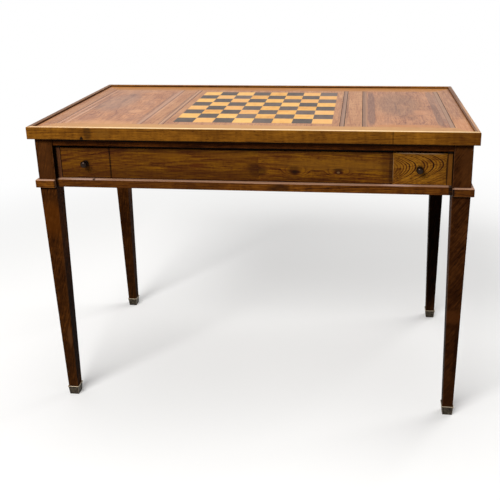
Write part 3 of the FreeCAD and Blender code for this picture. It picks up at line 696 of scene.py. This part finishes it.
# Boxwood squares: warm yellow, some of them pinker, with faint streaks
boxwood = woodMaterial("polishedBoxwood", palette=("F0BA62", "E4A850", "CC8A3E", "9C682A"), tint="DEA066",
                       specular=0.1, ringAmount=0.2, fibreAmount=0.4, fibreSize=(40, 4, 4), cell=48,
                       cellAmount=0.15, roughness=(0.36, 0.46), tintAmount=0.38, bump=0.04)
# Ebonised pear squares: nearly black, seen bluish grey where the polish shines
ebonised = woodMaterial("ebonisedPear", palette=("62493A", "453326", "291D15", "130E0A"), tint="3C2D22",
                        specular=0.17, fibreAmount=0.4, ringAmount=0.2, cell=48, cellAmount=0.25,
                        roughness=(0.36, 0.46), bump=0.04)
# Waxed walnut in the well: an even mid brown with soft streaks
walnutWell = woodMaterial("waxedWalnut", palette=("9A6A3E", "7E5230", "5C3A20", "3A2212"), tint="6A4426",
                          heart=(0, -600, 900))
# Planed oak without polish, where nobody looks: pale, dry and rough
oak = woodMaterial("planedOak", turn=grainTurn["y"], palette=("C8A676", "B48E5C", "8E6A40", "5E4428"),
                   tint="A88458", roughness=(0.6, 0.75), heart=(100, 0, 900), specular=0.2)


# Metal: cast or turned, with a darker tarnish in patches. Its edges are bright where they are rubbed, and
# black grime lies in its corners, where the attribute is below zero.
metalGrime = {"colour": "0A0604", "amount": 0.92}
metalRelief = {"Strength": 0.2, "Distance": 0.2 * mm}


def metalMaterial(name, bright, tarnish, rubbed, roughness, grain):
    material = bpy.data.materials.new(name)
    add = emptyTree(material)
    noise = add("TexNoise", {"Vector": add("TexCoord").outputs["Object"], "Scale": 1 / (grain * mm),
                             "Detail": 4.0, "Roughness": 0.6})
    share = add("MapRange", {"Value": noise, "From Min": cloudRange[0], "From Max": cloudRange[1]})
    colour = add("Mix", {0: share, 6: bright, 7: tarnish}, data_type="RGBA")
    worn = add("Attribute", attribute_name="worn").outputs["Fac"]
    colour = add("Mix", {0: worn, 6: colour, 7: rubbed}, data_type="RGBA")
    grime = add("MapRange", {"Value": worn, "From Max": -1.0, "To Max": metalGrime["amount"]})
    colour = add("Mix", {0: grime, 6: colour, 7: metalGrime["colour"]}, data_type="RGBA")
    rough = add("MapRange", {"Value": noise, "To Min": roughness[0], "To Max": roughness[1]})
    bump = add("Bump", {"Height": noise, **metalRelief})
    add("OutputMaterial", {"Surface": add("BsdfPrincipled", {
        "Base Color": colour, "Roughness": rough, "Metallic": 1.0, "Normal": bump})})
    return material


# Cast brass: dull and nearly black, with pale rubbed edges. Turned bronze: black-brown with a small glint.
castBrass = metalMaterial("castBrass", "524A3E", "24201C", "D0BCA0", (0.35, 0.6), 6)
turnedBronze = metalMaterial("turnedBronze", "1E1613", "090605", "2C221D", (0.18, 0.32), 4)


# Wool baize: matt green felted cloth with a short nap, drawn coarser than its fibres so that it shows
def baizeMaterial(name, colour, deep, fibre):
    material = bpy.data.materials.new(name)
    add = emptyTree(material)
    nap = add("TexNoise", {"Vector": add("TexCoord").outputs["Object"], "Scale": 1 / (fibre * mm),
                           "Detail": 4.0})
    tone = add("Mix", {0: nap, 6: deep, 7: colour}, data_type="RGBA")
    bump = add("Bump", {"Height": nap, "Strength": 0.5, "Distance": 0.3 * mm})
    add("OutputMaterial", {"Surface": add("BsdfPrincipled", {
        "Base Color": tone, "Roughness": 0.95, "Specular IOR Level": 0.1, "Sheen Weight": 0.3,
        "Normal": bump})})
    return material


woolBaize = baizeMaterial("woolBaize", "3C7A4C", "1E4A2C", 1.6)
print("materials made")

record = frame["record"]
bodyOf = {node: body for body, members in record["behaviour"]["bodies"].items() for node in members}
sharpAngle = math.radians(35)
flatAngle = math.radians(1)     # faces that meet below it are one face
sameSpot = 0.01 * mm


# A new piece takes its material, and stands for its CAD nodes on their body
def standFor(piece, material, *nodeNames):
    piece.data.materials.append(material)
    scene.collection.objects.link(piece)
    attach(piece, bodyOf[nodeNames[0]])
    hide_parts(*nodeNames)


# Smooth shading between faces that meet below the sharp angle, with the big flat faces kept flat
def evenShading(piece):
    piece.data.shade_smooth()
    piece.data.set_sharp_from_angle(angle=sharpAngle)
    even = piece.modifiers.new("evenNormals", "WEIGHTED_NORMAL")
    even.keep_sharp = True


# A mesh from grids of points in millimetres: rows are stations, columns run round the outline. Neighbours
# join in quads, and a flat face caps each end unless the rows close on themselves. A grid whose volume, the
# sum of a . (b x c) over its faces, comes out negative is turned. Several grids make one object of separate
# shells.
def gridPiece(name, grids, worn, closedRows=False):
    points = []
    faces = []
    for grid in grids:
        rows, columns = grid.shape[:2]
        index = np.arange(rows * columns).reshape(rows, columns)
        here = index if closedRows else index[:-1]
        further = np.roll(index, -1, axis=0) if closedRows else index[1:]
        quads = np.stack([here, np.roll(here, -1, axis=1), np.roll(further, -1, axis=1), further], axis=-1)
        quads = quads.reshape(-1, 4)
        spots = grid.reshape(-1, 3)
        a, b, c, d = np.moveaxis((spots - spots.mean(axis=0))[quads], 1, 0)
        volume = (a * np.cross(b, c)).sum() + (a * np.cross(c, d)).sum()
        shell = quads.tolist()
        if not closedRows:
            shell += [index[0][::-1].tolist(), index[-1].tolist()]
        start = sum(len(block) for block in points)
        faces += [[start + i for i in (face if volume > 0 else face[::-1])] for face in shell]
        points.append(spots)
    mesh = bpy.data.meshes.new(name)
    mesh.from_pydata((np.concatenate(points) * mm).tolist(), [], faces)
    rubbed = mesh.attributes.new("worn", "FLOAT", "POINT")
    rubbed.data.foreach_set("value", np.concatenate([share.ravel() for share in worn]).astype(np.float32))
    mesh.validate()
    piece = bpy.data.objects.new(name, mesh)
    evenShading(piece)
    return piece


# A closed outline with each corner rounded by an arc, whose centre lies on the corner's bisector at its
# radius over the sine of half the corner's angle. Gives the points, the unit vector inwards from each, and
# how far each point is out on its arc, from 0 at the arc's feet to the corner's wear in the middle.
def easedOutline(corners, radii, wear, steps=4):
    corner = np.array(corners, float)
    radius = np.array(radii, float)[:, None]
    before = np.roll(corner, 1, axis=0) - corner
    after = np.roll(corner, -1, axis=0) - corner
    before /= np.linalg.norm(before, axis=1, keepdims=True)
    after /= np.linalg.norm(after, axis=1, keepdims=True)
    half = np.arccos((before * after).sum(axis=1, keepdims=True)) / 2
    bisector = before + after
    bisector /= np.linalg.norm(bisector, axis=1, keepdims=True)
    centre = corner + bisector * radius / np.sin(half)
    side = -np.sign(before[:, :1] * after[:, 1:] - before[:, 1:] * after[:, :1])
    share = np.linspace(-1, 1, steps + 1)
    angle = share * (math.pi / 2 - half) * side
    cos, sin = np.cos(angle), np.sin(angle)
    outX = -(bisector[:, :1] * cos - bisector[:, 1:] * sin)
    outY = -(bisector[:, :1] * sin + bisector[:, 1:] * cos)
    out = np.stack([outX, outY], axis=-1)
    points = centre[:, None] + radius[:, None] * out
    amount = np.cos(share * math.pi / 2) * np.array(wear, float)[:, None]
    return points.reshape(-1, 2), -out.reshape(-1, 2), amount.ravel()


# Slow uneven wear along a length: a few sine waves of unlike lengths, from 0 to 1
def handWear(along, seed, lengths=(310, 127, 53, 29)):
    phases = np.random.default_rng(seed).uniform(0, 2 * math.pi, len(lengths))
    waves = sum(np.sin(2 * math.pi * along / length + phase) for length, phase in zip(lengths, phases))
    return 0.5 + waves / (2 * len(lengths))


# Rim of the top: a grooved moulding, mitred at its ends, with hand-rubbed arrises
rim = {
    "outline": ((0, 710), (11, 710), (11, 722), (6, 722), (6, 729), (11, 729), (11, 740), (0, 740)),  # in, up
    "radii": (1.0, 0.5, 0.25, 0.25, 0.25, 0.25, 1.3, 1.7),
    "wear": (0.25, 0.1, 0, 0, 0, 0, 0.8, 1.0),
    "halfSize": (523, 281),
    "stations": 90,
    "rub": 0.35,            # how deep the rubbing goes on the outer arris
    "leastRubbed": 0.35,    # the wear where hands rub least, as a share of the most
    "nick": {"wall": "front", "at": -387, "depth": 2.4, "width": 5.0, "corner": 0, "stations": 17},
    "walls": {"front": cherryRimFront, "right": cherryRimY, "back": cherryRimX, "left": cherryRimY},
}


# The outline is carried along each wall. A point's way along is the station times the half length less its
# depth, which mitres the ends, and each wall is the front one turned by quarter turns.
def makeRim(settings):
    outline, inward, amount = easedOutline(settings["outline"], settings["radii"], settings["wear"])
    perCorner = len(outline) // len(settings["outline"])
    for quarter, (wall, wood) in enumerate(settings["walls"].items()):
        length, depth = settings["halfSize"] if quarter % 2 == 0 else settings["halfSize"][::-1]
        station = np.linspace(-1, 1, settings["stations"])
        nick = settings["nick"]
        dent = np.zeros((1, len(outline)))
        if wall == nick["wall"]:
            close = nick["at"] + nick["width"] * np.linspace(-2, 2, nick["stations"])
            station = np.sort(np.concatenate([station, close / length]))
            dent = np.exp(-((station * length - nick["at"]) / nick["width"]) ** 2)[:, None] * nick["depth"]
            onCorner = np.arange(len(outline)) // perCorner == nick["corner"]
            dent = dent * onCorner * amount / amount[:perCorner].max()
        rubbed = handWear(station * length, quarter + 1)[:, None]
        shift = settings["rub"] * rubbed * amount + dent
        section = outline + shift[..., None] * inward
        along = station[:, None] * (length - section[..., 0])
        out = depth - section[..., 0]
        turn = quarter * math.pi / 2
        x = along * math.cos(turn) + out * math.sin(turn)
        y = along * math.sin(turn) - out * math.cos(turn)
        grid = np.stack([x, y, section[..., 1]], axis=-1)
        worn = amount * (settings["leastRubbed"] + (1 - settings["leastRubbed"]) * rubbed)
        piece = gridPiece("rim" + wall.capitalize(), [grid], [worn])
        standFor(piece, wood, "rim_" + wall)


makeRim(rim)
print("rim made")


# Rows of squares round a middle: each row has its half size and height, and its four corners are arcs, whose
# centre is the half size less the radius out from the middle
def squareRows(middle, half, height, radius, steps=4):
    quarter = np.linspace(0, math.pi / 2, steps + 1)
    angle = quarter + np.arange(4)[:, None] * math.pi / 2
    toCorner = np.array([(1, 1), (-1, 1), (-1, -1), (1, -1)])[:, None]
    spoke = np.stack([np.cos(angle), np.sin(angle)], axis=-1)
    centre = (half[:, None] - radius)[..., None, None] * toCorner
    ring = centre + radius[..., None, None] * spoke
    x = middle[0] + ring[..., 0]
    y = middle[1] + ring[..., 1]
    z = np.broadcast_to(height[:, None, None], x.shape)
    grid = np.stack([x, y, z], axis=-1).reshape(len(half), -1, 3)
    return grid, np.broadcast_to(np.sin(2 * quarter), x.shape).reshape(len(half), -1)


# A node's name in camelCase
def pieceName(text):
    first, *rest = text.split("_")
    return first + "".join(word.capitalize() for word in rest)


# A leg's half size runs straight between its heights, and each arris has its own wear
def makeLegs(settings):
    height = np.union1d(np.linspace(settings["heights"][0], settings["heights"][-1], settings["rows"]),
                        settings["heights"])
    half = np.interp(height, settings["heights"], settings["halfSizes"])
    for number, (corner, (right, back)) in enumerate(corners.items()):
        rubbed = np.stack([handWear(height, 10 * number + edge) for edge in range(4)], axis=1)
        radius = settings["arris"] + settings["rubbed"] * rubbed
        middle = (right * settings["centre"][0], back * settings["centre"][1])
        grid, out = squareRows(middle, half, height, radius)
        worn = out * np.repeat(rubbed, out.shape[1] // 4, axis=1)
        piece = gridPiece("leg" + pieceName("_" + corner), [grid], [worn])
        standFor(piece, legWoods[corner], "leg_" + corner)


makeLegs(leg)
print("legs made")


# Collars: a strip round the two outer faces of each leg, its upper edge well rounded
collar = {
    "outline": ((0, 588), (7, 588), (7, 608), (0, 608)),   # away from the leg, height
    "radii": (0.3, 1.2, 2.6, 0.5),
    "wear": (0, 0.24, 0.8, 0.16),
    "legFace": (511, 269),
    "legBack": (469, 227),
    "cornerRadius": 1.6,
    "steps": 5,
}


# Stations: one end, an arc round the leg's corner whose centre is the corner less the radius, and the other
# end
def makeCollars(settings):
    outline, inward, amount = easedOutline(settings["outline"], settings["radii"], settings["wear"])
    away = outline[:, 0]
    radius = settings["cornerRadius"]
    faceX, faceY = settings["legFace"]
    turn = np.linspace(-math.pi / 2, 0, settings["steps"])[:, None]
    cornerX = faceX + away - radius + radius * np.cos(turn)
    cornerY = faceY + away - radius - radius * np.sin(turn)
    rows = np.ones((1, len(away)))
    x = np.concatenate([settings["legBack"][0] * rows, cornerX, (faceX + away)[None]])
    y = np.concatenate([(faceY + away)[None], cornerY, settings["legBack"][1] * rows])
    z = np.broadcast_to(outline[:, 1], x.shape)
    grids = [np.stack([right * x, back * y, z], axis=-1) for right, back in corners.values()]
    worn = [np.broadcast_to(amount, x.shape) for _ in grids]
    standFor(gridPiece("legCollars", grids, worn), cherryCollar, "leg_collars")


makeCollars(collar)
print("collars made")


# Sabots: a square cup that tapers downwards under a square ring, open in the middle for the leg
sabot = {
    "profile": ((6, 0), (12.25, 0), (14, 22), (15, 22), (15, 25), (13, 25), (10.5, 2), (6, 2)),  # out, up
    "radii": (0.2, 0.8, 0.3, 0.5, 0.9, 0.2, 0.2, 0.2),
    "wear": (0, 0.15, -1, 0.2, 1, 0, 0, 0),   # below zero lies grime
    "cornerRadius": 1.2,
    "cornerWear": 0.2,
}


# Each point of the profile is a square row of that half size at that height, and the rows close on themselves
def makeSabots(settings):
    profile, inward, amount = easedOutline(settings["profile"], settings["radii"], settings["wear"], steps=3)
    grids = []
    worn = []
    for right, back in corners.values():
        radius = np.full((len(profile), 4), settings["cornerRadius"])
        middle = (right * leg["centre"][0], back * leg["centre"][1])
        grid, out = squareRows(middle, profile[:, 0], profile[:, 1], radius)
        grids.append(grid)
        worn.append(amount[:, None] + out * settings["cornerWear"])
    standFor(gridPiece("sabots", grids, worn, closedRows=True), castBrass, "brass_sabots")


makeSabots(sabot)
print("sabots made")

# Knobs: turned about a line along Y. A stud, a small plate, a hollow neck and a flattened ball.
knob = {
    "height": 646.2,
    "side": 395.5,
    "face": -254,
    "foot": ((-20.5, 2), (0, 2), (0, 6.2), (0.3, 6.5), (1.1, 6.5), (1.5, 6),    # out from the face, radius
             (2.8, 4.4), (3.6, 3.7), (5, 3.5)),
    "ball": (8.3, 6.5, 13.5),  # radius, half thickness, where its middle is
    "arc": (-62, 86, 22),      # degrees where the ball starts and ends, and its rows
    "sides": 40,
}


# A ball's point at the angle a is at its middle + half thickness x sin a, with the radius x cos a
def makeKnobs(settings):
    ballRadius, ballHalf, ballAt = settings["ball"]
    tilt = np.radians(np.linspace(*settings["arc"]))
    ball = np.stack([ballAt + ballHalf * np.sin(tilt), ballRadius * np.cos(tilt)], axis=-1)
    profile = np.concatenate([settings["foot"], ball])
    angle = np.linspace(0, 2 * math.pi, settings["sides"], endpoint=False)
    for side, number in (("left", -1), ("right", 1)):
        x = number * settings["side"] + profile[:, 1:] * np.cos(angle)
        z = settings["height"] + profile[:, 1:] * np.sin(angle)
        y = np.broadcast_to(settings["face"] - profile[:, :1], x.shape)
        grid = np.stack([x, y, z], axis=-1)
        rubbed = np.clip((profile[:, :1] - ballAt) / ballHalf, 0, 1) * np.ones_like(x)
        piece = gridPiece("knob" + side.capitalize(), [grid], [rubbed])
        standFor(piece, turnedBronze, f"drawer_{side}_knob")


makeKnobs(knob)
print("knobs made")


# A copy of a CAD node with its triangles joined into flat faces and its edges eased. Where onlyFront is set,
# only the edges that lie in its front plane are eased, so that its joints stay tight.
def easedCopy(node, material, ease, segments=2, onlyFront=False):
    shape = bmesh.new()
    shape.from_mesh(nodes[node].data)
    bmesh.ops.remove_doubles(shape, verts=shape.verts, dist=sameSpot)
    bmesh.ops.dissolve_limit(shape, angle_limit=flatAngle, verts=shape.verts, edges=shape.edges)
    mesh = bpy.data.meshes.new(pieceName(node))
    shape.to_mesh(mesh)
    shape.free()
    piece = bpy.data.objects.new(pieceName(node), mesh)
    bevel = piece.modifiers.new("easedEdges", "BEVEL")
    bevel.width = ease * mm
    bevel.segments = segments
    if onlyFront:
        spots = np.empty(len(mesh.vertices) * 3)
        mesh.vertices.foreach_get("co", spots)
        ends = np.empty(len(mesh.edges) * 2, int)
        mesh.edges.foreach_get("vertices", ends)
        inFront = spots[1::3] < spots[1::3].min() + sameSpot
        weight = mesh.attributes.new("bevel_weight_edge", "FLOAT", "EDGE")
        weight.data.foreach_set("value", inFront[ends].reshape(-1, 2).all(axis=1).astype(np.float32))
        bevel.limit_method = "WEIGHT"
    else:
        bevel.limit_method = "ANGLE"
        bevel.angle_limit = sharpAngle
    evenShading(piece)
    standFor(piece, material, node)


eased = {   # node: finish and ease
    "drawer_left_front": (cherryApronLeft, 0.5),
    "drawer_right_front": (cherryFigured, 1.3),
    "apron_front_left_board": (cherryApronLeft, 0.35),
    "apron_front_right_board": (cherryApronRight, 0.35),
    "drawer_stiles": (cherryStiles, 0.5),
    "upper_rail_front": (darkRailX, 0.8),
    "upper_rail_back": (darkRailX, 0.8),
    "upper_rail_left": (darkRailY, 0.8),
    "upper_rail_right": (darkRailY, 0.8),
    "lower_rail_front": (cherryRailX, 1.0),
    "lower_rail_back": (cherryRailX, 1.0),
    "lower_rail_left": (cherryRailY, 1.0),
    "lower_rail_right": (cherryRailY, 1.0),
    "apron_back": (cherryApronBack, 0.5),
    "apron_left": (cherryApronY, 0.5),
    "apron_right": (cherryApronY, 0.5),
}
for node, (wood, ease) in eased.items():
    easedCopy(node, wood, ease, onlyFront=node in ("drawer_left_front", "drawer_right_front"))
print("rails, aprons and drawer fronts eased")

# Baize on the underside of the top: one cut piece of wool cloth, stretched and glued in its shallow recess
baize = {
    "flat": (0.860, 0.376),
    "thick": 0.9,            # mm
    "cells": (60, 26),
    "swell": 0.03,           # mm, how unevenly the nap lies
    "swellLengths": (23, 17),  # mm for one radian of each wave
}


# Two surfaces half a thickness either side of the middle, and a slow swell of crossing sine waves on both
def makeBaize(settings):
    low, high = boxOf("reverse_baize")
    across = np.linspace(-settings["flat"][0], settings["flat"][0], settings["cells"][0]) / 2 / mm
    deep = np.linspace(-settings["flat"][1], settings["flat"][1], settings["cells"][1]) / 2 / mm
    y = np.concatenate([deep, deep[::-1]])
    side = np.repeat((1, -1), len(deep)) * settings["thick"] / 2
    long, short = settings["swellLengths"]
    swell = settings["swell"] * np.sin(across[:, None] / long) * np.cos(y / short)
    z = (low[2] + high[2]) / 2 + side + swell
    grid = np.stack([np.broadcast_to(across[:, None], z.shape), np.broadcast_to(y, z.shape), z], axis=-1)
    piece = gridPiece("reverseBaize", [grid], [np.zeros(z.shape)])
    standFor(piece, woolBaize, "reverse_baize")


makeBaize(baize)
print("baize made")

finishes = {
    "border_long_strips": cherryBorderX,
    "border_short_strips": cherryBorderY,
    "board_margin_strips": cherryMargin,
    "frieze_strips": cherryFrieze,
    "banding_strips": banding,
    "stringing_lines": lines,
    "field_panel_left": cherryFieldLeft,
    "field_panel_right": cherryFieldRight,
    "chess_squares_light": boxwood,
    "chess_squares_dark": ebonised,
    "top_core_panel": oak,
    "well_floor": walnutWell,
    "well_points_light": boxwood,
    "well_points_dark": ebonised,
    "well_divider_bar": walnutWell,
    "well_partitions": cherryApronY,
    "end_boards": walnutWell,
    "drawer_runners": oak,
    "drawer_kickers": oak,
    "drawer_stops": oak,
}
for drawer in ("drawer_left", "drawer_right"):
    for part in ("inner_side", "outer_side", "back", "bottom"):
        finishes[f"{drawer}_{part}"] = oak
    finishes[drawer + "_knob_nut"] = turnedBronze
for name, material in finishes.items():
    nodes[name].data.materials.clear()
    nodes[name].data.materials.append(material)
print("finishes given to", len(finishes), "CAD nodes")
